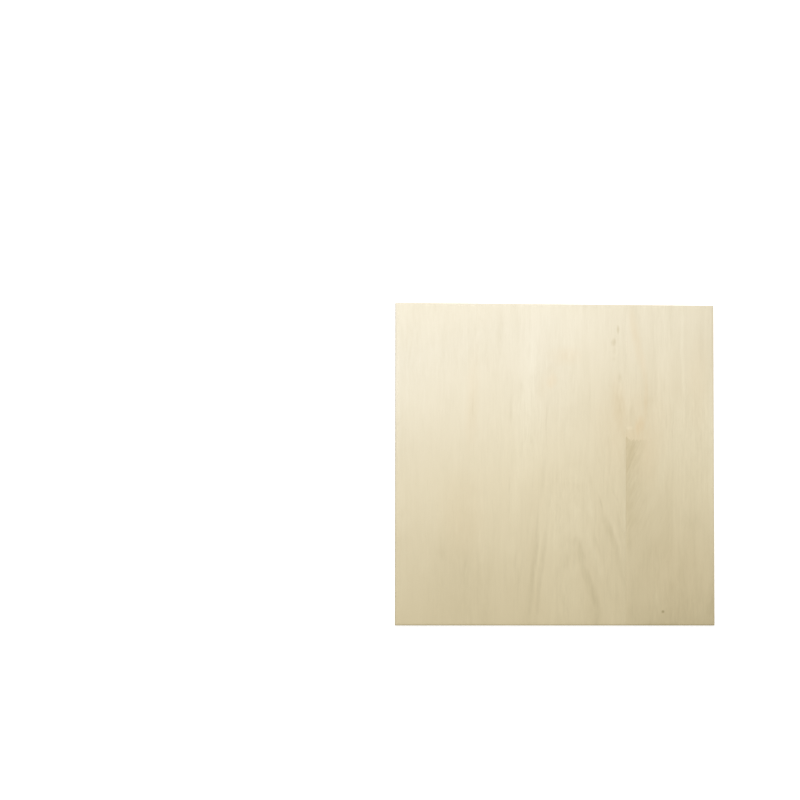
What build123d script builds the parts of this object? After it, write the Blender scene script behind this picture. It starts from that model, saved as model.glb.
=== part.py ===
from build123d import *

import os

# A square sheet of thin three-ply plywood with pale, close-grained faces, as sold for craft work.
# It lies flat. The origin is under the middle of the sheet, on its underside. +Z points out of
# the show face, +Y runs along the grain of both face veneers, and +X runs across it.
# All sizes are in millimetres.

# The trimmed size
length_along_grain = 304.8
width_across_grain = 304.8

# The plies. The cross-band between the two face veneers has its grain turned by a quarter turn.
face_veneer = 0.7
cross_band = 1.6
thickness = face_veneer + cross_band + face_veneer

# What trimming, sanding and handling leave: upright corners and the long edges of both faces
corner_radius = 0.6
arris_radius = 0.25

# The plies are glued and pressed into one panel, which is trimmed square and then sanded
with BuildPart() as plywood_sheet:
    with BuildSketch(Plane.XY) as trimmed_outline:
        Rectangle(width_across_grain, length_along_grain)
        fillet(trimmed_outline.vertices(), radius=corner_radius)
    extrude(amount=thickness)
    faces_by_height = plywood_sheet.faces().sort_by(Axis.Z)
    underside = faces_by_height[0]
    show_face = faces_by_height[-1]
    fillet(underside.edges() + show_face.edges(), radius=arris_radius)
plywood_sheet.part.label = "plywood_sheet"

os.makedirs("parts", exist_ok=True)
export_step(plywood_sheet.part, "parts/plywood_sheet.step")
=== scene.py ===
import math

import bmesh
import bpy
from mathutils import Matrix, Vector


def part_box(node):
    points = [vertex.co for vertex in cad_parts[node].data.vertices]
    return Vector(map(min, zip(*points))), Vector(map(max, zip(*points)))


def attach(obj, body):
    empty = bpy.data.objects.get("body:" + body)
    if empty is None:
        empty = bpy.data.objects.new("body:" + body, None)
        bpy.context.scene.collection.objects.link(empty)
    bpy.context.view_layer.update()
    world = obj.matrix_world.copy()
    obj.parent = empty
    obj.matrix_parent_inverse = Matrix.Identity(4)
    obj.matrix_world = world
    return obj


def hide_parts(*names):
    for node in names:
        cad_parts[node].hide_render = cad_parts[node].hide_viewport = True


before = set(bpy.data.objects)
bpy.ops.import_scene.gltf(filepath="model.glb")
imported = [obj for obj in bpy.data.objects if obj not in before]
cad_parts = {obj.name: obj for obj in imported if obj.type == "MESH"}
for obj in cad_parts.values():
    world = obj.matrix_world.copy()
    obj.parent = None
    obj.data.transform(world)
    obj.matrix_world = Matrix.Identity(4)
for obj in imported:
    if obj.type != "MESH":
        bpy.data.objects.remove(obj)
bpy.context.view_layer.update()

# The panel
# The sheet is one flat square panel. Two face veneers are glued to a cross-band between them,
# and the panel is pressed, sawn square on all four sides and sanded, which eases its arrises.

sheet_low, sheet_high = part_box("plywood_sheet")
width, length, thickness = sheet_high - sheet_low
face_veneer = 0.0007
glue_line = 0.00012
glue_line_depth = 0.00004
corner_radius = 0.0006
arris_radius = 0.00025
facets_a_round = 3
cells_a_side = 127
tiny = 0.00001


def pick(kind, wanted):
    """In edit mode, leaves just those vertices, edges or faces selected that wanted says yes to."""
    modes = {"verts": "VERT", "edges": "EDGE", "faces": "FACE"}
    bpy.ops.mesh.select_mode(type=modes[kind])
    bpy.ops.mesh.select_all(action="DESELECT")
    shape = bmesh.from_edit_mesh(bpy.context.edit_object.data)
    shape.normal_update()
    for item in getattr(shape, kind):
        if wanted(item):
            item.select_set(True)
    bmesh.update_edit_mesh(bpy.context.edit_object.data)


def upright_corner(edge):
    ends = [v.co for v in edge.verts]
    at_corner = all(abs(abs(p.x) - width / 2) < tiny and abs(abs(p.y) - length / 2) < tiny for p in ends)
    return at_corner and abs(ends[0].z - ends[1].z) > tiny


def arris(edge):
    sharp_turn = math.radians(60)
    flat = all(min(v.co.z - sheet_low.z, sheet_high.z - v.co.z) < tiny for v in edge.verts)
    return flat and edge.is_manifold and edge.calc_face_angle() > sharp_turn


bpy.ops.object.select_all(action="DESELECT")
bpy.ops.mesh.primitive_grid_add(
    x_subdivisions=cells_a_side, y_subdivisions=cells_a_side, size=1, location=(0, 0, sheet_low.z)
)
sheet = bpy.context.object
sheet.name = sheet.data.name = "veneered_sheet"
sheet.scale = (width, length, 1)
bpy.ops.object.transform_apply(location=True, rotation=True, scale=True)

bpy.ops.object.mode_set(mode="EDIT")
bpy.ops.mesh.extrude_region_move(TRANSFORM_OT_translate={"value": (0, 0, thickness)})
bpy.ops.mesh.select_all(action="SELECT")
bpy.ops.mesh.normals_make_consistent(inside=False)

pick("edges", upright_corner)
bpy.ops.mesh.bevel(offset=corner_radius, segments=facets_a_round, affect="EDGES")

# Cuts round the sawn sides: the lips and the middle of both glue lines, then rows inside each ply
glue_heights = (sheet_low.z + face_veneer, sheet_high.z - face_veneer)
shares_of_thickness = (0.13, 0.38, 0.5, 0.62, 0.87)
cut_heights = [h + lip for h in glue_heights for lip in (-glue_line / 2, 0, glue_line / 2)]
cut_heights += [sheet_low.z + thickness * share for share in shares_of_thickness]
for height in sorted(cut_heights):
    bpy.ops.mesh.select_all(action="SELECT")
    bpy.ops.mesh.bisect(plane_co=(0, 0, height), plane_no=(0, 0, 1))

pick("edges", arris)
bpy.ops.mesh.bevel(offset=arris_radius, segments=facets_a_round, affect="EDGES")

# The middle of each glue line is drawn in a little, as glue shrinks when it dries
pick("verts", lambda v: min(abs(v.co.z - h) for h in glue_heights) < glue_line / 4)
bpy.ops.transform.shrink_fatten(value=-glue_line_depth)

# The show face is two strips of veneer laid edge to edge. Their joint is a fine groove, which is
# deeper in the near half of the sheet, where it has opened a little.
veneer_joint = 0.0678
joint_lip = 0.0001
joint_depth = 0.00001
joint_opens_by = 0.00003
joint_opens_at = 0.0235


def on_joint(vertex):
    return abs(vertex.co.x - veneer_joint) < tiny and vertex.co.z > sheet_high.z - arris_radius


for line in (veneer_joint - joint_lip, veneer_joint, veneer_joint + joint_lip):
    pick("faces", lambda face: face.calc_center_median().z > sheet_high.z - face_veneer)
    bpy.ops.mesh.bisect(plane_co=(line, 0, 0), plane_no=(1, 0, 0))
for back_end, depth in ((length, joint_depth), (joint_opens_at, joint_opens_by)):
    pick("verts", lambda v: on_joint(v) and v.co.y < back_end)
    bpy.ops.transform.translate(value=(0, 0, -depth))
bpy.ops.object.mode_set(mode="OBJECT")

# Sawing leaves the sides of the plies slightly uneven, and never proud of the trimmed size
saw_mark_size = 0.005
saw_unevenness = 0.00009
saw_marks = bpy.data.textures.new("saw_marks", "CLOUDS")
saw_marks.noise_scale = saw_mark_size
sawn_side = sheet.vertex_groups.new(name="sawn_side")
for vertex in sheet.data.vertices:
    if arris_radius < vertex.co.z - sheet_low.z < thickness - arris_radius:
        sawn_side.add([vertex.index], 1.0, "REPLACE")
bpy.ops.object.modifier_add(type="DISPLACE")
uneven = sheet.modifiers[-1]
uneven.texture = saw_marks
uneven.vertex_group = sawn_side.name
uneven.strength = saw_unevenness
uneven.mid_level = 1.0
bpy.ops.object.modifier_apply(modifier=uneven.name)

rounds_turn_less_than = math.radians(32)
bpy.ops.object.shade_smooth_by_angle(angle=rounds_turn_less_than)

# Where the surfaces lie on the flat map that holds the finish: the show face at full width, the
# underside pressed flatter along its grain, and the four sawn sides as narrow bands below them
map_margin = 0.004
side_band = 0.009
whole_row = (map_margin, 1 - map_margin)
underside_rows = (0.055, 0.285)
show_face_rows = (0.295, 0.996)
leans_up = 0.3


def between(share, ends):
    return ends[0] + share * (ends[1] - ends[0])


def side_rows(number):
    """The rows of the map for one sawn side: 0 left, 1 right, 2 front and 3 back."""
    start = map_margin + number * (side_band + map_margin)
    return start, start + side_band


flat_map = sheet.data.uv_layers.new(name="OFBake")
for face in sheet.data.polygons:
    for corner in face.loop_indices:
        place = sheet.data.vertices[sheet.data.loops[corner].vertex_index].co
        across = place.x / width + 0.5
        along = place.y / length + 0.5
        up = (place.z - sheet_low.z) / thickness
        if face.normal.z > leans_up:
            spot = (between(across, whole_row), between(along, show_face_rows))
        elif face.normal.z < -leans_up:
            spot = (between(across, whole_row), between(along, underside_rows))
        elif abs(face.normal.x) > abs(face.normal.y):
            spot = (between(along, whole_row), between(up, side_rows(0 if face.normal.x < 0 else 1)))
        else:
            spot = (between(across, whole_row), between(up, side_rows(2 if face.normal.y < 0 else 3)))
        flat_map.data[corner].uv = spot

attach(sheet, "root")
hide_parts("plywood_sheet")

# The show face
# Sanded, unfinished veneer of a pale, close-grained wood, cut flat from the log, so that the growth
# rings make a tall arch. Fibres, fine pores and a few mineral streaks run along the sheet.

millimetres = 1000.0
half_width = width / 2 * millimetres
half_length = length / 2 * millimetres


def feed(tree, socket, value):
    """Links a socket to another node's output, or sets it to a plain value."""
    if isinstance(value, bpy.types.NodeSocket):
        tree.links.new(value, socket)
    else:
        socket.default_value = value


def maths(tree, operation, *values, clamp=False):
    step = tree.nodes.new("ShaderNodeMath")
    step.operation = operation
    step.use_clamp = clamp
    for socket, value in zip(step.inputs, values):
        feed(tree, socket, value)
    return step.outputs[0]


def product(tree, *masks):
    """Multiplies masks, so that only what lies in all of them is left."""
    shared = masks[0]
    for mask in masks[1:]:
        shared = maths(tree, "MULTIPLY", shared, mask)
    return shared


def total(tree, terms):
    """Adds up pairs of a mask and its weight."""
    amount = 0.0
    for mask, weight in terms:
        amount = maths(tree, "MULTIPLY_ADD", mask, weight, amount)
    return amount


def ranged(tree, mask, low, high):
    """Turns a mask into a value that is low where the mask is 0 and high where it is 1."""
    return maths(tree, "MULTIPLY_ADD", mask, high - low, low)


def inverse(tree, mask):
    return maths(tree, "SUBTRACT", 1.0, mask)


def apart(tree, one, other):
    """How far two values are from each other."""
    return maths(tree, "ABSOLUTE", maths(tree, "SUBTRACT", one, other))


def vector_maths(tree, operation, *values):
    step = tree.nodes.new("ShaderNodeVectorMath")
    step.operation = operation
    for socket, value in zip(step.inputs, values):
        feed(tree, socket, value)
    return step.outputs[0]


def vector_of(tree, x, y, z):
    made = tree.nodes.new("ShaderNodeCombineXYZ")
    for socket, value in zip(made.inputs, (x, y, z)):
        feed(tree, socket, value)
    return made.outputs[0]


def parts_of(tree, vector):
    split = tree.nodes.new("ShaderNodeSeparateXYZ")
    feed(tree, split.inputs[0], vector)
    return split.outputs


def shifted(tree, place, x=0.0, y=0.0, z=0.0):
    return vector_maths(tree, "ADD", place, vector_of(tree, x, y, z))


def rise(tree, value, start, end):
    """0 up to start, 1 from end on, and a smooth slope between them. The end may be the lower one."""
    slope = tree.nodes.new("ShaderNodeMapRange")
    slope.interpolation_type = "SMOOTHSTEP"
    for name, number in (("Value", value), ("From Min", start), ("From Max", end)):
        feed(tree, slope.inputs[name], number)
    return slope.outputs[0]


def noise(tree, place, size, detail=2.0, roughness=0.5):
    """Soft random variation about 0.5, with blotches of the given size in millimetres."""
    spots = tree.nodes.new("ShaderNodeTexNoise")
    spots.inputs["Scale"].default_value = 1.0
    spots.inputs["Detail"].default_value = detail
    spots.inputs["Roughness"].default_value = roughness
    feed(tree, spots.inputs["Vector"], vector_maths(tree, "DIVIDE", place, size))
    return spots.outputs["Fac"]


def scattered(tree, place, size, start, end, detail=2.0, roughness=0.5):
    """Scattered blotches of a size: 0 where the noise is under start, and 1 where it is over end."""
    return rise(tree, noise(tree, place, size, detail, roughness), start, end)


def waver(tree, place, size, reach, detail=2.0):
    """A distance that strays to both sides of 0, by half the reach at most."""
    return product(tree, maths(tree, "SUBTRACT", noise(tree, place, size, detail), 0.5), reach)


def blend(tree, amount, under, over, way="MIX"):
    mix = tree.nodes.new("ShaderNodeMix")
    mix.data_type = "RGBA"
    mix.blend_type = way
    feed(tree, mix.inputs["Factor"], amount)
    feed(tree, mix.inputs["A"], under)
    feed(tree, mix.inputs["B"], over)
    return mix.outputs["Result"]


def bump(tree, height, depth, strength):
    raised = tree.nodes.new("ShaderNodeBump")
    raised.inputs["Distance"].default_value = depth
    raised.inputs["Strength"].default_value = strength
    feed(tree, raised.inputs["Height"], height)
    return raised.outputs[0]


def new_group(name, inputs, outputs):
    """An empty node group whose first input is the place on the sheet, in millimetres."""
    tree = bpy.data.node_groups.new(name, "ShaderNodeTree")
    tree.interface.new_socket("Place", in_out="INPUT", socket_type="NodeSocketVector")
    for label, value in inputs.items():
        tree.interface.new_socket(label, in_out="INPUT", socket_type="NodeSocketFloat").default_value = value
    for label in outputs:
        tree.interface.new_socket(label, in_out="OUTPUT", socket_type="NodeSocketFloat")
    return tree, tree.nodes.new("NodeGroupInput").outputs, tree.nodes.new("NodeGroupOutput").inputs


def use_group(tree, group, place, **values):
    """Places a group in a material. An input such as Half width is given as half_width."""
    made = tree.nodes.new("ShaderNodeGroup")
    made.node_tree = group
    feed(tree, made.inputs["Place"], place)
    for label, value in values.items():
        feed(tree, made.inputs[label.replace("_", " ").capitalize()], value)
    return made.outputs


def make_fibres():
    """Fine straight streaks along Y: 1 in the streaks and 0 between them."""
    tree, given, result = new_group("wood_fibres", {"Fibre width": 1.0, "Fibre length": 40.0}, ["Fibres"])
    size = vector_of(tree, given["Fibre width"], given["Fibre length"], given["Fibre width"])
    streaks = scattered(tree, given["Place"], size, 0.3, 0.7, detail=3.0, roughness=0.6)
    tree.links.new(streaks, result["Fibres"])
    return tree


def make_pores():
    """Short dashes along Y, where the blade opened the wood's vessels. They crowd in places."""
    tree, given, result = new_group("wood_pores", {"Pore width": 0.2, "Pore length": 2.5}, ["Pores"])
    size = vector_of(tree, given["Pore width"], given["Pore length"], given["Pore width"])
    dashes = scattered(tree, given["Place"], size, 0.62, 0.74, detail=1.0)
    crowding = scattered(tree, given["Place"], (9.0, 45.0, 9.0), 0.35, 0.65)
    tree.links.new(product(tree, dashes, crowding), result["Pores"])
    return tree


def make_arched_rings():
    """Growth rings cut flat: nested arches that open towards -Y about a middle line.

    An arch whose crown is at c is where out * out = (opening + spread * c) * (c - along), and here
    that is solved for c. Each ring darkens at once on its inner side and fades outwards, some rings
    are stronger than others, and none is equally strong along its whole run.
    """
    sizes = {"Middle line": 0.0, "Opening": 14.0, "Spread": 0.12, "Ring spacing": 20.0}
    unrest = {"Wander": 20.0, "Fray": 8.0}
    sudden_start = (0.0, 0.1)
    slow_fade = (0.8, 0.05)
    tree, given, result = new_group("arched_growth_rings", {**sizes, **unrest}, ["Late wood"])
    across, along, _ = parts_of(tree, given["Place"])
    out = maths(tree, "SUBTRACT", across, given["Middle line"])
    lean = product(tree, along, given["Spread"])
    near = maths(tree, "ADD", given["Opening"], lean)
    far = product(tree, out, out, given["Spread"], 4.0)
    root = maths(tree, "SQRT", maths(tree, "MULTIPLY_ADD", near, near, far))
    top = maths(tree, "ADD", maths(tree, "SUBTRACT", root, given["Opening"]), lean)
    crown = maths(tree, "DIVIDE", top, product(tree, given["Spread"], 2.0))
    drift = waver(tree, given["Place"], (16.0, 85.0, 16.0), given["Wander"])
    feather = waver(tree, given["Place"], (1.5, 26.0, 1.5), given["Fray"])
    crown = maths(tree, "ADD", maths(tree, "ADD", crown, drift), feather)
    ring = maths(tree, "DIVIDE", crown, given["Ring spacing"])
    share = maths(tree, "FRACT", ring)
    late = product(tree, rise(tree, share, *sudden_start), rise(tree, share, *slow_fade))
    ring_number = vector_of(tree, maths(tree, "FLOOR", ring), 0.0, 0.0)
    strength = scattered(tree, ring_number, (1.7, 1.0, 1.0), 0.3, 0.65, detail=0.0)
    patchy = scattered(tree, given["Place"], (25.0, 60.0, 25.0), 0.3, 0.6)
    tree.links.new(product(tree, late, strength, patchy), result["Late wood"])
    return tree


def make_grain_mark():
    """One soft oval that follows the grain: a streak that stands out of the rest, or a patch of painted
    light or shade.
    """
    softness = 1.5
    sizes = {"X": 0.0, "Y": 0.0, "Half width": 2.0, "Half length": 20.0, "Lean": 0.0}
    tree, given, result = new_group("grain_mark", sizes, ["Mark"])
    across, along, _ = parts_of(tree, given["Place"])
    down = maths(tree, "SUBTRACT", along, given["Y"])
    middle = maths(tree, "MULTIPLY_ADD", down, given["Lean"], given["X"])
    out = maths(tree, "DIVIDE", maths(tree, "SUBTRACT", across, middle), given["Half width"])
    end = maths(tree, "DIVIDE", down, given["Half length"])
    reach = maths(tree, "MULTIPLY_ADD", out, out, product(tree, end, end))
    mark = maths(tree, "SUBTRACT", 1.0, reach, clamp=True)
    tree.links.new(maths(tree, "POWER", mark, softness), result["Mark"])
    return tree


def make_painted_arris_shade():
    """Painted shade on the face beside its arrises, a darker line whose strength is given by side."""
    fade_out = (1.0, 0.4)
    sides = {"Left": 1.0, "Right": 1.0, "Front": 1.0, "Back": 1.0}
    tree, given, result = new_group("painted_arris_shade", {"Reach": 1.2, **sides}, ["Rim"])
    across, along, _ = parts_of(tree, given["Place"])
    depth = {
        "Left": maths(tree, "ADD", across, half_width),
        "Right": maths(tree, "SUBTRACT", half_width, across),
        "Front": maths(tree, "ADD", along, half_length),
        "Back": maths(tree, "SUBTRACT", half_length, along),
    }
    rim = 0.0
    for side, inwards in depth.items():
        fade = rise(tree, maths(tree, "DIVIDE", inwards, given["Reach"]), *fade_out)
        rim = maths(tree, "MAXIMUM", rim, product(tree, fade, given[side]))
    tree.links.new(rim, result["Rim"])
    return tree


fibres, pores, arched_rings = make_fibres(), make_pores(), make_arched_rings()
grain_mark, painted_arris_shade = make_grain_mark(), make_painted_arris_shade()

# The colours of the wood, and how far a pale mark lifts the colour under it
# The palest colour is partly painted light, whiter where the back of the sheet lies under the lamp
pale_wood_with_painted_light = (0.84, 0.78, 0.63, 1)
ripe_wood = (0.80, 0.685, 0.42, 1)
shaded_wood = (0.42, 0.345, 0.17, 1)
mineral_wood = (0.415, 0.32, 0.12, 1)
warm_wood = (0.80, 0.46, 0.13, 1)
pale_lift = (1.175, 1.21, 1.275, 1)

# Each mark is x and y of its middle, half its width and half its length, all in millimetres, then
# its lean to the side for each millimetre along, and its strength from 0 to 1. Most are marks of the
# grain; the broad ones noted below are painted shade and painted light, which even out the light.
shaded_marks = {
    "left leg, thin start": (-17.3, -52.0, 1.7, 24.0, 0.09, 0.07),
    "left leg of the wide arch": (-21.0, -99.0, 3.9, 46.0, 0.10, 0.15),
    "left leg, front end": (-25.2, -136.0, 4.6, 36.0, 0.04, 0.085),
    "soft outer side of the left leg": (-26.0, -108.0, 8.0, 60.0, 0.09, 0.035),
    "second left leg": (-12.4, -88.0, 3.4, 60.0, 0.118, 0.14),
    "second left leg, front end": (-17.0, -130.0, 3.2, 28.0, 0.09, 0.06),
    "left shoulder of the wide arch": (-12.0, -12.0, 3.2, 24.0, 0.07, 0.10),
    "hair line over the shoulder": (-8.6, 38.0, 1.2, 26.0, 0.0, 0.11),
    "short tick, left": (-43.8, -20.0, 1.5, 11.0, 0.10, 0.10),
    "long hair line, left": (-41.8, 60.0, 1.6, 34.0, 0.01, 0.07),
    "upper shade, left": (-51.5, 128.0, 3.4, 34.0, 0.06, 0.06),
    "upper hair line": (-36.5, 130.0, 1.8, 26.0, 0.0, 0.045),
    "shade right of the pale band": (-24.5, 106.0, 4.0, 12.0, 0.0, 0.05),
    "shade in the widest crown": (17.5, 95.0, 5.0, 11.0, 0.0, 0.05),
    "shade over the warm spot": (-6.0, 90.0, 3.6, 9.0, 0.2, 0.06),
    "tick under the pale band": (-32.5, 73.0, 3.0, 8.0, 0.0, 0.06),
    "line in the warm streak": (-79.0, 52.0, 1.1, 12.0, 0.05, 0.07),
    "brown shade under the warm spot": (-6.0, 62.0, 3.6, 15.0, 0.1, 0.045),
    "far left hair line": (-116.0, 48.0, 1.4, 16.0, 0.0, 0.04),
    "right leg, thin start": (43.0, -34.0, 1.5, 11.0, -0.33, 0.12),
    "right leg of the wide arch": (52.0, -63.0, 5.2, 27.0, -0.36, 0.13),
    "right leg, lower part": (60.5, -92.0, 3.8, 28.0, -0.22, 0.09),
    "outer right leg": (61.0, -53.0, 2.2, 22.0, -0.28, 0.08),
    "outer right leg, start": (57.0, -29.0, 1.6, 9.0, -0.45, 0.06),
    "inner right leg": (41.5, -78.0, 2.2, 16.0, -0.34, 0.07),
    "inner right leg, front end": (50.0, -113.0, 1.8, 12.0, -0.2, 0.06),
    "streak right of the inner right leg": (57.5, -136.0, 4.0, 28.0, 0.0, 0.04),
    "crown of the narrow arch": (20.0, -73.0, 9.0, 7.0, 0.0, 0.08),
    "cloud under the narrow arch's crown": (20.5, -82.0, 11.0, 16.0, 0.0, 0.06),
    "narrow arch, upper right leg": (25.2, -87.0, 4.8, 16.0, -0.13, 0.125),
    "narrow arch, right leg": (32.2, -114.0, 6.0, 25.0, -0.33, 0.145),
    "narrow arch, lower right leg": (38.5, -138.0, 6.0, 28.0, -0.06, 0.115),
    "core of the narrow arch's right leg": (35.5, -121.0, 2.6, 22.0, -0.12, 0.04),
    "shade outside the narrow arch's right leg": (38.0, -108.0, 9.0, 24.0, -0.25, 0.02),
    "narrow arch, left leg": (9.0, -92.0, 6.0, 20.0, 0.35, 0.05),
    "front hair line": (-36.0, -112.0, 1.2, 26.0, 0.0, 0.05),
    # partly a darker patch of the wood and partly painted shade, where the light falls off at the front
    "front left shade": (-90.0, -106.0, 44.0, 58.0, 0.0, 0.105),
    "streak in the front left shade": (-85.5, -98.0, 3.6, 22.0, 0.0, 0.06),
    "second streak in the front left shade": (-74.0, -104.0, 3.0, 34.0, 0.0, 0.05),
    "third streak in the front left shade": (-66.0, -110.0, 4.0, 42.0, 0.0, 0.04),
    "fourth streak in the front left shade": (-107.0, -85.0, 7.0, 9.0, 0.0, 0.06),
    "shade left of the joint": (66.0, -2.0, 8.0, 60.0, 0.0, 0.065),
    "ground of the stain": (55.0, 56.0, 15.0, 50.0, 0.0, 0.06),
    "shade on the strip, back": (84.0, 56.0, 9.0, 40.0, 0.0, 0.045),
    "shade beside the stain": (74.5, 46.0, 5.0, 18.0, 0.0, 0.05),
    # painted shade: the front right corner is darker, where the light falls off
    "front right corner": (124.0, -162.0, 70.0, 48.0, 0.0, 0.225),
    "shade in front of the fan": (114.0, -120.0, 12.0, 18.0, 0.0, 0.06),
    "broad shade in front of the fan": (96.0, -100.0, 36.0, 40.0, 0.0, 0.07),
    "shade at the foot of the joint": (74.0, -140.0, 9.0, 24.0, 0.0, 0.07),
    # painted shade along the front border, where the light falls off
    "front border, right": (98.0, -153.0, 26.0, 5.0, 0.0, 0.08),
    "streak in front of the wedge": (83.5, -92.0, 4.0, 16.0, 0.0, 0.05),
    # painted shade at the right border in front, where the light falls off
    "right border, front": (150.5, -136.0, 8.0, 32.0, 0.0, 0.14),
    "streak in the front right corner": (132.5, -92.0, 5.0, 46.0, 0.0, 0.07),
    "shade at the front, left": (-67.0, -150.0, 9.0, 22.0, 0.0, 0.06),
    # painted shade along the front border at the left, where the light falls off
    "broad shade at the front, left": (-80.0, -142.0, 34.0, 24.0, 0.0, 0.035),
    "streak beside the front left shade": (-48.0, -106.0, 3.0, 34.0, 0.0, 0.07),
    "shade over the front left shade": (-84.0, -40.0, 16.0, 40.0, 0.0, 0.04),
    # the next three marks are painted shade, which tones down the bright light at the back left
    "shade at the back, left": (-70.0, 128.0, 50.0, 44.0, 0.0, 0.055),
    "back border, left": (-118.0, 158.0, 54.0, 24.0, 0.0, 0.045),
    "broad shade at the back": (-80.0, 120.0, 90.0, 70.0, 0.0, 0.016),
    "shade beside the upper shade": (-53.0, 140.0, 5.0, 36.0, 0.0, 0.05),
    "streak at the back, left": (-104.0, 128.0, 4.0, 24.0, 0.0, 0.04),
    # the next two marks are painted shade, which tones down the bright light at the back left
    "broad shade at the back left": (-118.0, 106.0, 46.0, 54.0, 0.0, 0.04),
    "shade at the back left corner": (-138.0, 126.0, 14.0, 36.0, 0.0, 0.04),
    "hair line at the back, left": (-107.0, 112.0, 3.0, 40.0, 0.0, 0.05),
    "side of the warm streak": (-77.0, 56.0, 6.0, 64.0, 0.05, 0.03),
    "right dark strip": (123.0, -98.0, 8.5, 58.0, 0.0, 0.10),
    "back right shade": (140.5, 122.0, 4.4, 40.0, 0.0, 0.06),
    "back right hair line": (112.0, 132.0, 3.0, 30.0, 0.0, 0.03),
    "right hair line": (113.0, 34.0, 1.2, 16.0, 0.0, 0.05),
    "streak in the right leg's lower part": (51.5, -118.0, 2.4, 26.0, -0.1, 0.045),
    "shade left of the front of the narrow arch": (-14.0, -134.0, 9.0, 26.0, 0.0, 0.035),
    "shade right of the joint, front": (76.0, -116.0, 11.0, 15.0, 0.0, 0.04),
    "shade in the narrow arch": (28.5, -104.0, 6.0, 9.0, -0.3, 0.05),
    "shade over the narrow arch": (9.0, -92.0, 3.6, 13.0, 0.0, 0.055),
    "shade at the right, near the corner": (137.5, -119.0, 7.0, 21.0, 0.0, 0.075),
    "shade at the right, in front": (131.0, -53.0, 15.0, 14.0, 0.0, 0.075),
    "shade beside the joint, front": (71.0, -76.0, 4.0, 12.0, 0.0, 0.07),
    "shade at the right border": (137.5, 20.0, 4.5, 16.0, 0.0, 0.06),
    "tick at the side of the fan": (112.8, -8.0, 1.5, 12.0, 0.0, 0.05),
    "tick left of the pale ground": (99.0, 40.0, 1.4, 7.0, 0.0, 0.045),
    "tick beside the pale ground": (106.5, 42.0, 1.6, 8.0, 0.0, 0.06),
    "pin knot": (102.4, -139.3, 2.0, 2.0, 0.0, 0.8),
}
mineral_marks = {
    "larger mineral speck": (55.9, 116.2, 3.5, 5.2, 0.10, 0.26),
    "smaller mineral speck": (60.9, 128.6, 1.7, 5.6, 0.02, 0.31),
    "first faint speck in front": (56.3, 108.0, 3.0, 4.6, 0.0, 0.09),
    "second faint speck in front": (56.5, 100.5, 3.6, 3.2, 0.0, 0.07),
    "grey speck": (61.6, 82.4, 2.4, 6.4, -0.08, 0.13),
    "stain left of the joint": (61.5, 52.0, 8.0, 28.0, -0.16, 0.09),
    "line in the stain": (62.5, 52.0, 2.2, 14.0, -0.05, 0.05),
    "brown line on the strip": (72.0, 48.0, 3.0, 18.0, 0.09, 0.06),
    "core of the orange spot": (82.5, 36.0, 4.6, 8.0, 0.1, 0.035),
    "olive ground over the wedge": (77.0, 28.0, 14.0, 9.0, 0.0, 0.06),
    "brown band on the strip": (86.0, 68.0, 8.0, 30.0, 0.0, 0.04),
    "olive line beside the brown band": (91.5, 58.0, 2.4, 18.0, 0.08, 0.04),
    "warm streak's core": (-80.5, 50.0, 4.0, 30.0, 0.06, 0.03),
    "olive band at the back": (77.0, 140.0, 8.0, 40.0, -0.14, 0.07),
}
warm_marks = {
    "orange spot on the strip": (81.0, 38.0, 6.0, 11.0, 0.2, 0.13),
    "warm ground over the wedge": (77.0, 29.0, 14.0, 9.0, 0.0, 0.06),
    "warm side of the wedge": (89.0, 4.0, 14.0, 36.0, 0.0, 0.045),
    "warm ground of the stain": (60.0, 60.0, 9.0, 32.0, -0.10, 0.06),
    "warm band at the back": (77.5, 122.0, 6.0, 38.0, -0.15, 0.08),
    "warm line on the strip": (87.0, 62.0, 3.0, 28.0, 0.06, 0.07),
    "warm line on the strip, back": (85.0, 92.0, 4.0, 22.0, -0.1, 0.06),
    "warm spot": (-3.0, 79.0, 6.5, 9.0, 0.2, 0.10),
    "warm shade under the warm spot": (-8.0, 78.0, 10.0, 22.0, 0.4, 0.035),
    "crown of the widest arch": (10.0, 103.0, 20.0, 12.0, 0.0, 0.07),
    "warm ground, back right": (138.0, 76.0, 13.0, 56.0, 0.0, 0.045),
    "warm streak": (-79.0, 62.0, 9.0, 64.0, 0.05, 0.05),
    "warm ground, front left": (-90.0, -50.0, 28.0, 52.0, 0.0, 0.045),
    "warm ground, front right": (116.0, -104.0, 50.0, 60.0, 0.0, 0.03),
    "warm ground round the stain": (70.0, 34.0, 44.0, 56.0, 0.0, 0.068),
    "warm ground at the right, behind": (106.0, 64.0, 36.0, 58.0, 0.0, 0.022),
}
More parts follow.
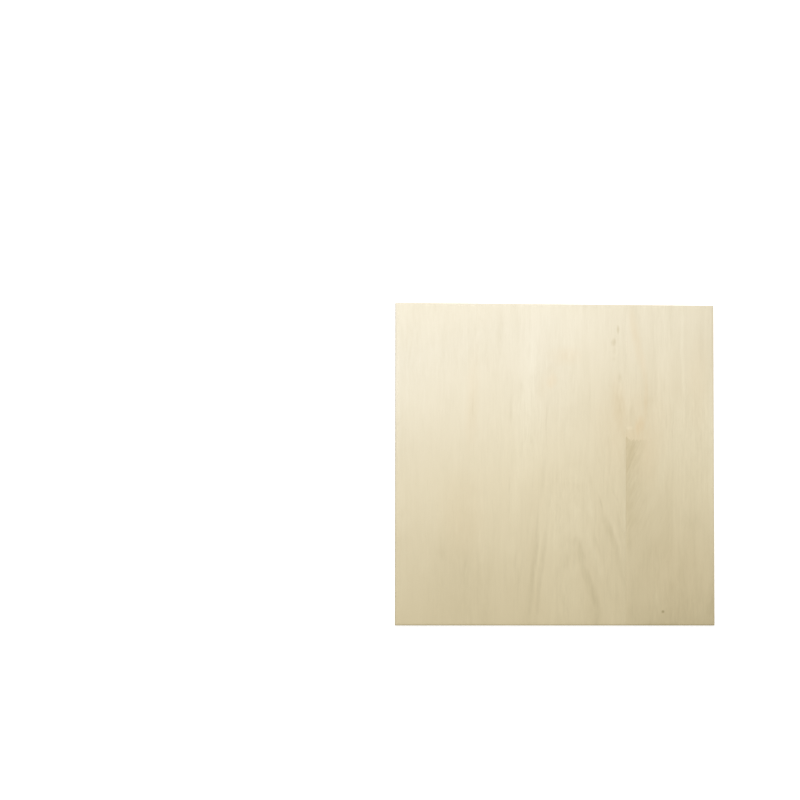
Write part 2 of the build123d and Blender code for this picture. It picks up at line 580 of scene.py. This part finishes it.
pale_marks_and_painted_light = {
    "pale band, back": (-25.0, 96.0, 12.0, 60.0, 0.14, 0.18),
    "pale side of the back band": (-20.5, 92.0, 6.0, 30.0, 0.0, 0.20),
    "pale band, middle": (-25.0, 30.0, 18.0, 62.0, 0.05, 0.27),
    "pale right side of the middle band": (-13.0, 14.0, 6.0, 20.0, 0.0, 0.10),
    "pale ground round the middle band": (-38.0, 36.0, 30.0, 52.0, 0.0, 0.10),
    "pale band, front": (-38.0, -28.0, 8.0, 46.0, 0.06, 0.16),
    "pale line between the legs": (-16.4, -82.0, 1.9, 40.0, 0.10, 0.17),
    "pale spot left of the legs": (-42.0, -79.0, 6.0, 13.0, 0.0, 0.14),
    "pale line beside the left leg": (-23.5, -58.0, 3.4, 14.0, 0.1, 0.14),
    "pale ground at the back": (15.0, 138.0, 44.0, 34.0, 0.0, 0.10),
    "pale ground of the wide arch": (12.0, -58.0, 34.0, 54.0, 0.0, 0.32),
    "pale line under the right shoulder": (33.0, -36.0, 5.0, 30.0, -0.1, 0.20),
    "pale ground over the arches": (8.0, 84.0, 24.0, 56.0, 0.0, 0.12),
    "pale crown line": (17.0, -16.0, 14.0, 3.0, 0.0, 0.09),
    "pale spot over the crown": (12.0, 31.0, 5.0, 15.0, 0.0, 0.20),
    "pale spot in the arch": (19.0, -44.0, 6.0, 9.0, 0.0, 0.12),
    "pale crown of the wide arch": (22.0, -10.0, 13.0, 11.0, 0.0, 0.19),
    "pale heart of the narrow arch": (8.0, -128.0, 26.0, 50.0, 0.0, 0.22),
    "pale side of the narrow arch": (38.0, -88.0, 6.0, 20.0, -0.35, 0.14),
    "pale line left of the narrow arch": (1.5, -66.0, 5.0, 20.0, 0.12, 0.18),
    "pale spot outside the narrow arch's right leg": (43.0, -103.0, 5.0, 9.0, -0.2, 0.14),
    "pale spot in the narrow arch": (17.5, -101.0, 4.0, 9.0, 0.0, 0.14),
    "pale back end beside the narrow arch": (32.5, -68.0, 5.0, 14.0, -0.2, 0.15),
    "pale line in the right leg": (59.5, -70.0, 3.2, 28.0, -0.30, 0.14),
    "pale fill under the right leg": (56.0, -136.0, 13.0, 44.0, -0.06, 0.09),
    "pale line along the joint": (66.3, -46.0, 1.3, 44.0, 0.0, 0.14),
    "long pale streak, back right": (122.3, 118.0, 2.4, 46.0, 0.0, 0.30),
    "pale ground at the back right": (106.0, 108.0, 14.0, 76.0, 0.0, 0.19),
    # painted light at the back right corner, where the lamp's light falls short
    "painted light, back right corner": (130.0, 158.0, 38.0, 60.0, 0.0, 0.10),
    "pale ground beside the wedge": (108.0, 34.0, 18.0, 50.0, 0.0, 0.13),
    "pale line beside the pale ground": (118.5, 38.0, 8.0, 26.0, 0.0, 0.11),
    "pale spot behind the wedge": (96.0, 49.0, 8.0, 14.0, 0.0, 0.17),
    "long pale streak, front right": (114.6, -58.0, 1.5, 26.0, 0.0, 0.13),
    "pale streak beside the long one, front right": (121.0, -62.0, 3.0, 30.0, 0.0, 0.10),
    "slanting pale fleck": (93.0, -36.0, 5.5, 16.0, 0.42, 0.16),
    "upper pale fleck": (102.0, -10.0, 5.0, 22.0, 0.0, 0.26),
    "pale fleck in the wedge": (77.0, -3.0, 2.0, 7.0, 0.6, 0.16),
    "lower pale fleck in the wedge": (71.6, -14.0, 2.4, 7.0, 0.4, 0.20),
    "pale crescent": (71.6, 34.8, 5.0, 2.3, 0.0, 0.36),
    # the next two marks are painted light along the right side, where the lamp's light falls short
    "painted light, right side": (138.0, 20.0, 38.0, 96.0, 0.0, 0.38),
    "painted light, right border": (152.0, 0.0, 6.0, 110.0, 0.0, 0.42),
    "pale ground beside the right border": (138.0, -20.0, 14.0, 20.0, 0.0, 0.10),
    # painted light at the right border, where the lamp's light falls short
    "painted light, right border, behind": (148.0, 40.0, 10.0, 40.0, 0.0, 0.20),
    "pale left border, front": (-149.0, -112.0, 12.0, 44.0, 0.0, 0.14),
    "pale left border, back": (-152.0, 70.0, 7.0, 44.0, 0.0, 0.22),
    "pale ground at the left, front": (-126.0, -28.0, 42.0, 46.0, 0.0, 0.09),
    "pale spot, front left": (-124.0, -96.0, 7.0, 13.0, 0.0, 0.12),
    "pale left border, middle": (-152.0, -38.0, 9.0, 34.0, 0.0, 0.16),
    "pale ground at the left": (-134.0, 64.0, 22.0, 52.0, 0.0, 0.10),
    "pale patch at the left": (-146.0, -58.0, 10.0, 14.0, 0.0, 0.12),
    "pale line left of the long hair line": (-64.0, 16.0, 4.0, 34.0, 0.0, 0.08),
    "pale spot left of the stain": (51.5, 36.0, 4.0, 14.0, 0.0, 0.12),
    "pale spot beside the knot": (97.0, -130.0, 5.0, 15.0, 0.0, 0.15),
    "pale spot left of the joint": (47.0, 8.0, 5.0, 9.0, 0.0, 0.14),
    "pale ground, front left": (-76.0, -38.0, 20.0, 12.0, 0.0, 0.12),
    "pale spot beside the fan's top": (97.5, -14.0, 4.5, 14.0, 0.0, 0.10),
    "fleck at the joint": (70.2, -20.0, 2.0, 7.0, 0.0, 0.18),
    "slanting fleck beside the wedge": (79.5, 9.0, 2.2, 12.0, 0.45, 0.15),
    "pale spot in the stain": (62.5, 68.0, 3.4, 14.0, 0.0, 0.11),
    "pale line left of the left leg": (-24.0, -68.0, 2.6, 16.0, 0.1, 0.12),
    # painted light over the middle, which evens out the light there
    "painted light over the middle": (5.0, 0.0, 120.0, 72.0, 0.0, 0.06),
    "pale line at the right, middle": (122.8, 74.0, 3.2, 36.0, 0.0, 0.20),
    "pale line beside the pale band": (-14.0, 88.0, 3.0, 28.0, 0.0, 0.13),
}
mark_sizes = ("x", "y", "half_width", "half_length", "lean")


def marks(tree, place, listed):
    """Adds up the grain marks of a list."""
    found = []
    for *sizes, strength in listed.values():
        mark = use_group(tree, grain_mark, place, **dict(zip(mark_sizes, sizes)))["Mark"]
        found.append((mark, strength))
    return total(tree, found)


def new_material(name):
    """A material with its shader, and the place on the sheet in millimetres."""
    material = bpy.data.materials.new(name)
    material.use_nodes = True
    tree = material.node_tree
    shader = tree.nodes["Principled BSDF"]
    where = tree.nodes.new("ShaderNodeTexCoord").outputs["Object"]
    return material, tree, shader, vector_maths(tree, "MULTIPLY", where, (millimetres,) * 3)


show_veneer, tree, shader, place = new_material("show_face_veneer")
across, along, _ = parts_of(tree, place)

# The right strip comes from another part of the log, so its grain is taken from elsewhere. On both
# strips the grain sways a little to either side as it runs along.
joint_x = veneer_joint * millimetres
joint_top = joint_opens_at * millimetres
joint_blur = 0.05
strip_lift = 70.0
grain_sway = 4.0
right_strip = rise(tree, across, joint_x - joint_blur, joint_x + joint_blur)
strip_place = shifted(tree, place, z=product(tree, right_strip, strip_lift))
sway = waver(tree, strip_place, (18.0, 30.0, 18.0), grain_sway, detail=3.0)
swayed = shifted(tree, strip_place, x=sway)

# The growth rings arch about a line a little right of the sheet's middle, stay on the left strip and
# weaken towards the back. Here and below, a pair of places is where something starts to show and
# where it is full.
arch_middle = 17.0
arch_sides = (72.0, 44.0)
arch_back = (70.0, -30.0)
all_rings = use_group(
    tree, arched_rings, swayed,
    middle_line=arch_middle, opening=14.0, spread=0.12, ring_spacing=17.0, wander=24.0, fray=9.0,
)["Late wood"]
within_sides = rise(tree, apart(tree, across, arch_middle), *arch_sides)
towards_front = ranged(tree, rise(tree, along, *arch_back), 0.25, 1.0)
rings = product(tree, all_rings, within_sides, inverse(tree, right_strip), towards_front)

# Fibres from fine to broad, a mottled figure that breaks up the streaks, and wide clouds. In lively
# parts of the sheet the streaks are stronger.
fine = use_group(tree, fibres, swayed, fibre_width=0.9, fibre_length=22.0)["Fibres"]
hollows = inverse(tree, fine)
middling = use_group(tree, fibres, swayed, fibre_width=2.8, fibre_length=42.0)["Fibres"]
mottled = use_group(tree, fibres, swayed, fibre_width=2.6, fibre_length=11.0)["Fibres"]
broad = use_group(tree, fibres, swayed, fibre_width=9.0, fibre_length=150.0)["Fibres"]
cloudy = noise(tree, strip_place, (45.0, 90.0, 45.0))
lively = scattered(tree, strip_place, (30.0, 70.0, 30.0), 0.35, 0.65)

# Open pores, and long dark and pale hair lines. The pale ones are taken from another depth of the
# wood, so that they don't lie on the dark ones.
pale_lines_lift = 160.0
open_pores = use_group(tree, pores, swayed, pore_width=0.22, pore_length=2.6)["Pores"]
hair_lines = use_group(tree, pores, swayed, pore_width=1.0, pore_length=28.0)["Pores"]
other_depth = shifted(tree, swayed, z=pale_lines_lift)
pale_hair_lines = use_group(tree, pores, other_depth, pore_width=1.3, pore_length=32.0)["Pores"]

# Painted shade beside the arrises: darkest along the front one, a little along the left and right ones, and
# none along the back one
rim = use_group(tree, painted_arris_shade, place, reach=1.7, left=0.1, right=0.2, front=1.0, back=0.0)["Rim"]

# Flecks slant across the right strip beside the joint. They start at a cut-off, which has fine teeth
# and rises next to the joint.
slant = 0.45
ragged_reach = 16.0
cut_off_run = 5.0
cut_off_rise = 2.4
cut_off_teeth = 2.4
cut_off_lead = 1.0
cut_off_blur = (1.0, -1.2)
slanted = shifted(tree, place, x=product(tree, along, -slant))
slanted_across, _, _ = parts_of(tree, slanted)
flecks = scattered(tree, slanted, (1.9, 24.0, 1.0), 0.32, 0.68)
dots = scattered(tree, slanted, (0.8, 3.0, 1.0), 0.35, 0.7, detail=1.0)
patches = scattered(tree, slanted, (5.0, 15.0, 1.0), 0.36, 0.64, detail=1.0)
raggedness = waver(tree, slanted, (7.0, 30.0, 7.0), ragged_reach, detail=3.0)
ragged_across = maths(tree, "ADD", across, raggedness)
ragged_along = maths(tree, "ADD", along, raggedness)
next_to_joint = rise(tree, across, joint_x + cut_off_run, joint_x)
cut_off = total(
    tree, [(1.0, joint_top + cut_off_lead), (next_to_joint, cut_off_rise), (dots, -cut_off_teeth)]
)
in_front_of_cut = rise(tree, maths(tree, "SUBTRACT", along, cut_off), *cut_off_blur)
front_strip = product(tree, right_strip, in_front_of_cut)

# The flecks are darkest in a wedge against the joint, most of all in its core at the back
wedge_side = (joint_x + 30.0, joint_x)
wedge_foot = (-108.0, -38.0)
core_side = (joint_x + 11.5, joint_x + 3.0)
core_foot = (-14.0, 2.0)
whole_wedge = product(tree, rise(tree, ragged_across, *wedge_side), rise(tree, along, *wedge_foot))
wedge_core = product(tree, rise(tree, slanted_across, *core_side), rise(tree, along, *core_foot))
wedge_grain = total(tree, [(flecks, 0.4), (dots, 0.2), (patches, 0.4), (1.0, 0.5)])
wedge = product(tree, total(tree, [(whole_wedge, 0.68), (wedge_core, 0.36)]), front_strip, wedge_grain)

# Right of the wedge the flecks thin out in a fan, which ends to the right in one straight line
fan_right = (113.3, 111.8)
fan_left = (joint_x + 10.0, joint_x + 28.0)
fan_top = (-8.0, -52.0)
fan_foot = (-98.0, -80.0)
fan_width = product(tree, rise(tree, across, *fan_right), rise(tree, across, *fan_left))
fan_length = product(tree, rise(tree, ragged_along, *fan_top), rise(tree, ragged_along, *fan_foot))
fan_grain = total(tree, [(flecks, 0.5), (1.0, 0.7)])
fan = product(tree, fan_width, fan_length, front_strip, fan_grain)

# In front of the cut-off the right strip is a shade darker. Near the joint that shade starts at the
# cut-off, and further right it comes on slowly.
strip_shade_side = (joint_x + 70.0, joint_x)
quick_start_side = (joint_x + 24.0, joint_x + 6.0)
slow_start = (joint_top + 6.0, joint_top - 40.0)
quick_start = rise(tree, across, *quick_start_side)
started = maths(tree, "MAXIMUM", quick_start, rise(tree, ragged_along, *slow_start))
strip_shade = product(tree, rise(tree, across, *strip_shade_side), front_strip, started)

# The joint shows as a fine line, which is faint behind the cut-off and fades at the front
joint_line = (0.25, 0.08)
joint_line_foot = (-75.0, -35.0)
joint_shade = product(
    tree,
    rise(tree, apart(tree, across, joint_x), *joint_line),
    ranged(tree, rise(tree, along, *joint_line_foot), 0.3, 1.0),
    ranged(tree, in_front_of_cut, 0.2, 1.0),
)

# The left side of the sheet is calmer than the rest
calm_side = (-20.0, -80.0)
calmness = ranged(tree, rise(tree, across, *calm_side), 1.0, 0.55)
streaks = total(tree, [(hollows, 0.010), (middling, 0.056), (mottled, 0.030)])
streaks = product(tree, streaks, ranged(tree, lively, 0.5, 1.4))
streaks = product(tree, total(tree, [(streaks, 1.0), (broad, 0.04)]), calmness)

# Each effect with its strength. The marks are broken up by the fibres and the mottling.
broken = total(tree, [(hollows, 0.1), (mottled, 0.36), (1.0, 0.77)])
pale_broken = total(tree, [(fine, 0.1), (mottled, -0.2), (1.0, 1.05)])
shade = total(
    tree,
    [
        (rings, 0.04),
        (streaks, 1.0),
        (cloudy, 0.06),
        (open_pores, 0.08),
        (hair_lines, 0.05),
        (marks(tree, swayed, shaded_marks), broken),
        (strip_shade, 0.05),
        (fan, 0.05),
        (rim, 0.40),
    ],
)
mineral = total(
    tree,
    [
        (marks(tree, swayed, mineral_marks), broken),
        (wedge, 0.29),
        (fan, 0.03),
        (joint_shade, 0.16),
    ],
)
warmth = product(tree, marks(tree, swayed, warm_marks), broken)
paleness_and_painted_light = total(tree, [(marks(tree, swayed, pale_marks_and_painted_light), pale_broken), (pale_hair_lines, 0.12)])

# The wood yellows towards the front, quickly behind the middle and slowly in front of it, and a
# little towards the right. This is partly the wood's own tone and partly painted light: the back,
# under the lamp, is painted paler and whiter. Each pair is the change over a millimetre and the
# yellowing in the middle of the sheet. A tongue of sapwood at the back is less yellow.
yellowing_behind = (-0.0039, 0.53)
yellowing_in_front = (-0.0021, 0.56)
yellowing_to_right = (0.0016, 0.05)
sapwood_marks = {"tongue of sapwood": (-14.0, 90.0, 48.0, 78.0, 0.0, 0.08)}
yellow_behind = maths(tree, "MULTIPLY_ADD", along, *yellowing_behind, clamp=True)
yellow_in_front = maths(tree, "MULTIPLY_ADD", along, *yellowing_in_front)
yellow_along = maths(tree, "MINIMUM", yellow_behind, yellow_in_front)
yellow_at_right = maths(tree, "MULTIPLY_ADD", across, *yellowing_to_right)
yellowing_and_painted_light = maths(tree, "MULTIPLY_ADD", inverse(tree, yellow_along), yellow_at_right, yellow_along)
yellowing_and_painted_light = maths(tree, "SUBTRACT", yellowing_and_painted_light, marks(tree, swayed, sapwood_marks))

# The blends hold their amount between 0 and 1
colour = blend(tree, yellowing_and_painted_light, pale_wood_with_painted_light, ripe_wood)
colour = blend(tree, warmth, colour, warm_wood)
colour = blend(tree, paleness_and_painted_light, colour, pale_lift, "MULTIPLY")
colour = blend(tree, shade, colour, shaded_wood)
colour = blend(tree, mineral, colour, mineral_wood)
feed(tree, shader.inputs["Base Color"], colour)
feed(tree, shader.inputs["Roughness"], ranged(tree, hollows, 0.5, 0.62))
shader.inputs["Specular IOR Level"].default_value = 0.5
height = total(tree, [(fine, 0.6), (open_pores, -1.0), (middling, 0.3)])
feed(tree, shader.inputs["Normal"], bump(tree, height, depth=0.00003, strength=0.22))

# The underside
# The same wood in a plainer grade: one sheet of rotary-cut veneer, a little darker, with wider
# figure, some small pin knots and more handling marks. It is sanded as the show face is.

back_wood = (0.77, 0.68, 0.48, 1)
back_marks = {
    "streak, back left": (-62.0, 48.0, 5.0, 60.0, 0.05, 0.12),
    "streak, middle": (34.0, -30.0, 3.0, 44.0, -0.06, 0.13),
    "shade, back right": (95.0, 70.0, 7.0, 50.0, 0.03, 0.10),
    "streak, front left": (-118.0, -70.0, 4.0, 36.0, 0.0, 0.10),
    "pin knot, back": (18.0, 96.0, 1.6, 2.6, 0.0, 0.5),
    "pin knot, front left": (-31.0, -88.0, 1.3, 2.2, 0.0, 0.4),
    "pin knot, front right": (109.0, -102.0, 1.8, 2.4, 0.0, 0.4),
}
underside_lift = 400.0
underside_sway = 6.0

back_veneer, tree, shader, place = new_material("underside_veneer")
place = shifted(tree, place, z=underside_lift)
swayed = shifted(tree, place, x=waver(tree, place, (40.0, 55.0, 40.0), underside_sway))
rings = use_group(
    tree, arched_rings, swayed,
    middle_line=-38.0, opening=26.0, spread=0.2, ring_spacing=24.0, wander=46.0, fray=14.0,
)["Late wood"]
fine = use_group(tree, fibres, swayed, fibre_width=1.0, fibre_length=30.0)["Fibres"]
hollows = inverse(tree, fine)
broad = use_group(tree, fibres, swayed, fibre_width=7.0, fibre_length=110.0)["Fibres"]
cloudy = noise(tree, place, (50.0, 80.0, 50.0))
open_pores = use_group(tree, pores, swayed, pore_width=0.24, pore_length=2.8)["Pores"]
# Painted shade beside all four arrises
rim = use_group(tree, painted_arris_shade, place, reach=1.6, left=1.0, right=1.0, front=1.0, back=1.0)["Rim"]
shade = total(
    tree,
    [
        (rings, 0.12),
        (hollows, 0.06),
        (broad, 0.08),
        (cloudy, 0.08),
        (open_pores, 0.12),
        (marks(tree, swayed, back_marks), 1.0),
        (rim, 0.15),
    ],
)
feed(tree, shader.inputs["Base Color"], blend(tree, shade, back_wood, shaded_wood))
feed(tree, shader.inputs["Roughness"], ranged(tree, hollows, 0.58, 0.70))
shader.inputs["Specular IOR Level"].default_value = 0.35
height = total(tree, [(fine, 0.6), (open_pores, -1.0), (rings, 0.3)])
feed(tree, shader.inputs["Normal"], bump(tree, height, depth=0.00003, strength=0.4))

# The sawn sides
# The edges of the three plies with thin dark lines of glue between them. Where a ply runs along
# the side its fibres show as long streaks, and where it is cut across they show as dull end grain.

long_grain = (0.83, 0.735, 0.54, 1)
end_grain = (0.50, 0.375, 0.215, 1)
glue_brown = (0.28, 0.17, 0.08, 1)
half_core = (thickness / 2 - face_veneer) * millimetres
middle_height = (sheet_low.z + thickness / 2) * millimetres
ply_waver = 0.14
ply_blur = 0.02
glue_half_width = (0.08, 0.03)
most_glue = 0.85

sawn_edge, tree, shader, place = new_material("sawn_ply_edges")
across, along, up = parts_of(tree, place)
from_left_or_right = maths(tree, "SUBTRACT", half_width, maths(tree, "ABSOLUTE", across))
from_front_or_back = maths(tree, "SUBTRACT", half_length, maths(tree, "ABSOLUTE", along))
on_left_or_right = maths(tree, "LESS_THAN", from_left_or_right, from_front_or_back)
on_front_or_back = inverse(tree, on_left_or_right)

from_middle = apart(tree, up, middle_height)
from_middle = maths(tree, "ADD", from_middle, waver(tree, place, (3.0, 3.0, 9.0), ply_waver))
in_core = rise(tree, from_middle, half_core + ply_blur, half_core - ply_blur)
glue = rise(tree, apart(tree, from_middle, half_core), *glue_half_width)
glue = product(tree, glue, ranged(tree, noise(tree, place, (6.0, 6.0, 2.0)), 0.35, 1.25))

# A face veneer shows its end grain on the front and back, and the core on the left and right
shows_ends = apart(tree, on_front_or_back, in_core)

# The grain runs on along each side, and the left and right sides take theirs from elsewhere
left_and_right_lift = 50.0
run = total(tree, [(along, on_left_or_right), (across, on_front_or_back)])
edge_place = vector_of(tree, up, run, product(tree, on_left_or_right, left_and_right_lift))
streaks = use_group(tree, fibres, edge_place, fibre_width=0.14, fibre_length=7.0)["Fibres"]
bundles = scattered(tree, edge_place, (0.16, 0.14, 0.16), 0.35, 0.65)
ring_ends = scattered(tree, edge_place, (5.0, 1.6, 1.0), 0.35, 0.65)
saw_scores = scattered(tree, edge_place, (12.0, 0.45, 1.0), 0.4, 0.62, detail=1.0)
blotches = noise(tree, edge_place, (4.0, 30.0, 4.0))

long_colour = blend(tree, product(tree, streaks, 0.18), long_grain, shaded_wood)
end_colour = blend(tree, product(tree, bundles, 0.28), end_grain, shaded_wood)
end_colour = blend(tree, product(tree, ring_ends, 0.25), end_colour, long_grain)
colour = blend(tree, shows_ends, long_colour, end_colour)
colour = blend(tree, product(tree, saw_scores, 0.12), colour, shaded_wood)
colour = blend(tree, product(tree, blotches, 0.12), colour, shaded_wood)
colour = blend(tree, maths(tree, "MINIMUM", glue, most_glue), colour, glue_brown)
feed(tree, shader.inputs["Base Color"], colour)
feed(tree, shader.inputs["Roughness"], ranged(tree, shows_ends, 0.74, 0.86))
shader.inputs["Specular IOR Level"].default_value = 0.25
height = total(tree, [(streaks, 0.3), (bundles, 0.5), (saw_scores, 0.8), (glue, -0.6)])
feed(tree, shader.inputs["Normal"], bump(tree, height, depth=0.00005, strength=0.5))

finishes = (show_veneer, back_veneer, sawn_edge)
for material in finishes:
    sheet.data.materials.append(material)

# The finish of each face goes about half-way round its arrises
faces_up = 0.6
for face in sheet.data.polygons:
    if face.normal.z > faces_up:
        finish = show_veneer
    elif face.normal.z < -faces_up:
        finish = back_veneer
    else:
        finish = sawn_edge
    face.material_index = finishes.index(finish)

# The studio
# A plain pale floor that the sheet lies on, one broad soft lamp high over its back left part, and
# an even fill from all round. The camera looks down on the sheet from high up, a little to its left.

floor_size = 12.0
floor_gap = 0.00005
floor_glow = 0.73
white = (1, 1, 1, 1)
floor_grey = (0.8, 0.8, 0.8, 1)
fill_colour = (1.0, 0.97, 0.93, 1)
fill_strength = 0.335
lamp_place = (-0.10, 0.31, 0.68)
lamp_width = 0.4
lamp_power = 4.16
camera_place = (-0.438, -0.1056, 3.0)
camera_tilt = (3.14, -5.53, 0.09)
camera_lens = 143.7
camera_reach = 20
film_width = 36

bpy.ops.object.select_all(action="DESELECT")
bpy.ops.mesh.primitive_plane_add(size=floor_size, location=(0, 0, sheet_low.z - floor_gap))
floor = bpy.context.object
floor.name = "floor"
bpy.ops.object.transform_apply(location=True, rotation=True, scale=True)


def seen_directly(tree):
    """1 where the camera sees something itself, or its reflection or through glass, else 0."""
    rays = tree.nodes.new("ShaderNodeLightPath").outputs
    seen = maths(tree, "MAXIMUM", rays["Is Camera Ray"], rays["Is Glossy Ray"])
    return maths(tree, "MAXIMUM", seen, rays["Is Transmission Ray"])


paper = bpy.data.materials.new("floor_paper")
paper.use_nodes = True
tree = paper.node_tree
shader = tree.nodes["Principled BSDF"]
shader.inputs["Base Color"].default_value = floor_grey
shader.inputs["Roughness"].default_value = 0.9
shader.inputs["Specular IOR Level"].default_value = 0.0
shader.inputs["Emission Color"].default_value = white
feed(tree, shader.inputs["Emission Strength"], product(tree, seen_directly(tree), floor_glow))
floor.data.materials.append(paper)

world = bpy.data.worlds.new("studio")
bpy.context.scene.world = world
world.use_nodes = True
tree = world.node_tree
fill = tree.nodes["Background"]
fill.inputs["Color"].default_value = fill_colour
fill.inputs["Strength"].default_value = fill_strength
backdrop = tree.nodes.new("ShaderNodeBackground")
backdrop.inputs["Color"].default_value = white
backdrop.inputs["Strength"].default_value = 1.0
either = tree.nodes.new("ShaderNodeMixShader")
feed(tree, either.inputs[0], seen_directly(tree))
tree.links.new(fill.outputs[0], either.inputs[1])
tree.links.new(backdrop.outputs[0], either.inputs[2])
tree.links.new(either.outputs[0], tree.nodes["World Output"].inputs["Surface"])

lamp_data = bpy.data.lights.new("soft_lamp", "AREA")
lamp_data.shape = "DISK"
lamp_data.size = lamp_width
lamp_data.energy = lamp_power
lamp = bpy.data.objects.new("soft_lamp", lamp_data)
lamp.location = lamp_place
lamp.visible_camera = False
bpy.context.collection.objects.link(lamp)

camera_data = bpy.data.cameras.new("camera")
camera_data.sensor_width = film_width
camera_data.lens = camera_lens
camera_data.clip_end = camera_reach
camera = bpy.data.objects.new("camera", camera_data)
camera.location = camera_place
camera.rotation_euler = [math.radians(turn) for turn in camera_tilt]
bpy.context.collection.objects.link(camera)
bpy.context.scene.camera = camera
bpy.context.scene.view_settings.view_transform = "Standard"
